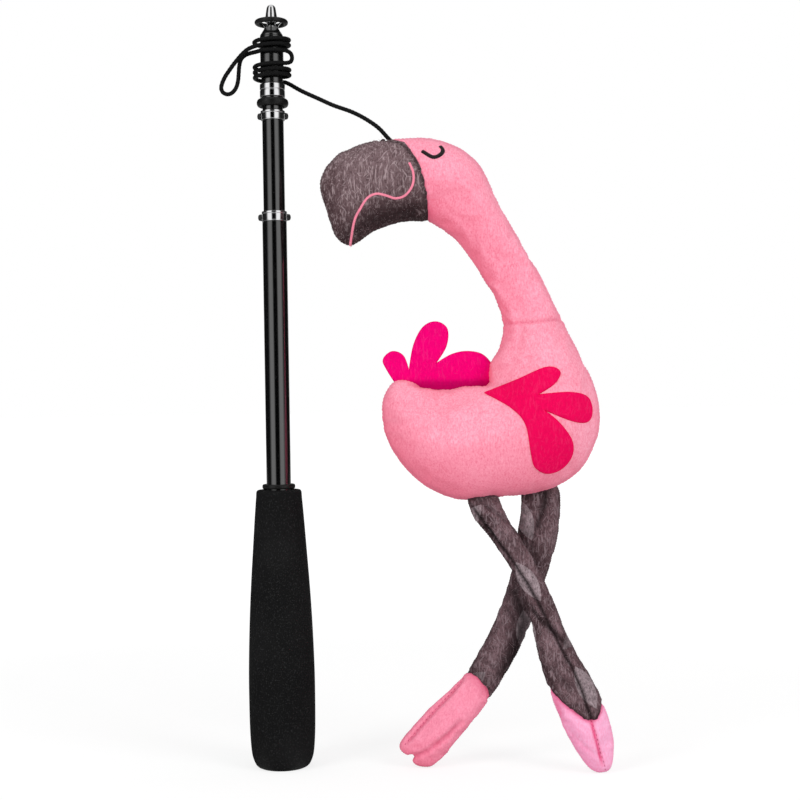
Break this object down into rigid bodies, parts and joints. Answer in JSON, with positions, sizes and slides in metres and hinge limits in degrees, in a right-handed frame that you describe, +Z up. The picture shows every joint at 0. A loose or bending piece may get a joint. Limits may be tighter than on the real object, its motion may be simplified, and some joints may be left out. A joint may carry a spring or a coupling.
{
  "type": "telescopic cat fishing rod",
  "caption": "Telescopic teaser rod with a foam grip and nested sliding sections; its line is wound on the hub below the tip and carries a stuffed flamingo with hinged legs.",
  "frame": {"origin": "centre of the grip's flat end", "axes": "+Z up the rod's axis towards the tip, +X towards the toy, -Y towards the viewer of the picture"},
  "size_m": [0.1778, 0.044, 0.3576],
  "materials": {
    "black_foam": "matte closed-cell foam",
    "black_rubber": "satin moulded rubber",
    "black_gloss": "gloss lacquered glass-fibre tube",
    "black_satin": "satin black plastic",
    "chrome": "bright plated",
    "line_black": "braided cord",
    "plush_pink": "short-pile plush",
    "foot_pink": "short-pile plush",
    "beak_taupe": "brushed cloth",
    "felt_magenta": "pressed felt"
  },
  "bodies": {
    "handle": {"foam_grip": "black_foam", "butt_cap": "black_rubber", "grip_check_ring": "black_rubber", "butt_tube": "black_gloss", "butt_ferrule": "chrome", "butt_stud_left": "black_satin", "butt_stud_right": "black_satin"},
    "section_2": {"section_2_tube": "black_gloss", "section_2_ferrule": "chrome", "section_2_stud_left": "black_satin", "section_2_stud_right": "black_satin"},
    "section_3": {"section_3_tube": "black_gloss", "section_3_band": "chrome", "stop_ring": "black_rubber"},
    "tip_section": {"tip_rod": "black_gloss", "hub_sleeve": "black_satin", "hub_barrel": "black_satin", "hub_cone": "black_satin", "tip_cap": "chrome", "guide_ring": "black_rubber", "ring_bracket": "chrome", "line_knot": "line_black", "line_upper_turns": "line_black", "line_bight": "line_black", "line_lower_turns": "line_black"},
    "toy": {"line_lead": "line_black", "toy_beak": "beak_taupe", "toy_head": "plush_pink", "toy_neck": "plush_pink", "toy_body": "plush_pink", "wing_near": "felt_magenta", "wing_far": "felt_magenta", "tail_felt": "felt_magenta"},
    "near_limb": {"near_leg": "beak_taupe", "near_foot": "foot_pink"},
    "far_limb": {"far_leg": "beak_taupe", "far_foot": "foot_pink"}
  },
  "joints": [
    {"name": "section_2_slide", "type": "slide", "parent": "handle", "child": "section_2", "axis": [0, 0, 1], "range_m": [0, 0.2]},
    {"name": "section_3_slide", "type": "slide", "parent": "section_2", "child": "section_3", "axis": [0, 0, 1], "range_m": [0, 0.245]},
    {"name": "tip_slide", "type": "slide", "parent": "section_3", "child": "tip_section", "axis": [0, 0, 1], "range_m": [0, 0.26]},
    {"name": "toy_swing", "type": "hinge", "parent": "tip_section", "child": "toy", "pos_m": [0.0062, 0.00685, 0.32238], "axis": [0, -1, 0], "range_deg": [-3, 75]},
    {"name": "near_leg_swing", "type": "hinge", "parent": "toy", "child": "near_limb", "pos_m": [0.0969, -0.014, 0.118], "axis": [0, -1, 0], "range_deg": [-20, 15]},
    {"name": "far_leg_swing", "type": "hinge", "parent": "toy", "child": "far_limb", "pos_m": [0.1222, -0.003, 0.11985], "axis": [0, -1, 0], "range_deg": [-5, 20]}
  ]
}
